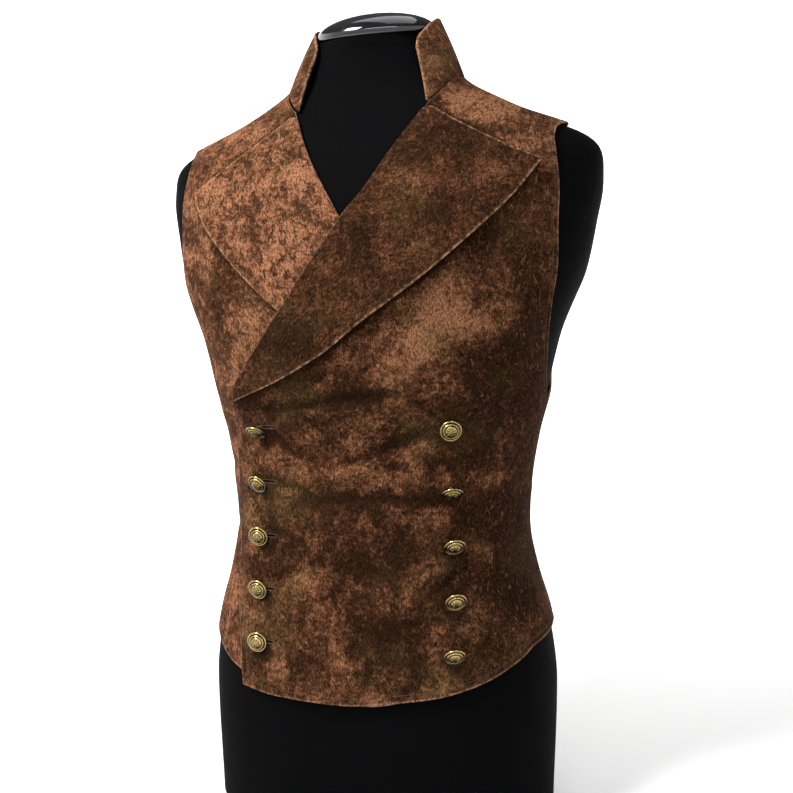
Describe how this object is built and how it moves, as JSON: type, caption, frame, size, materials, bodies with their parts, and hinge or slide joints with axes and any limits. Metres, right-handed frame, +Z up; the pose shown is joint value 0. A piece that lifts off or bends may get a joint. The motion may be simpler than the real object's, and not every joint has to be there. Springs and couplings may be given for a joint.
{
  "type": "suede vest on a dress form",
  "caption": "Double-breasted suede vest with wide lapels, a stand collar and domed metal buttons, worn by a limbless dress form with a flat foot.",
  "frame": {"origin": "on the flat foot of the dress form, below the middle of the neck and waist", "axes": "+Z up, the front of the vest faces -Y, the wearer's left is +X"},
  "size_m": [0.4744, 0.2774, 0.8441],
  "materials": {
    "suede": "mottled brushed suede",
    "jersey": "matte black jersey",
    "cap_gloss": "polished black",
    "button_brass": "antique brass"
  },
  "bodies": {
    "root": {"form_body": "jersey", "neck_cap": "cap_gloss", "left_front": "suede", "right_front": "suede", "back": "suede", "left_lapel": "suede", "right_lapel": "suede", "collar": "suede", "button_fastened_1": "button_brass", "button_fastened_2": "button_brass", "button_fastened_3": "button_brass", "button_fastened_4": "button_brass", "button_fastened_5": "button_brass", "button_sewn_1": "button_brass", "button_sewn_2": "button_brass", "button_sewn_3": "button_brass", "button_sewn_4": "button_brass", "button_sewn_5": "button_brass"}
  },
  "joints": []
}
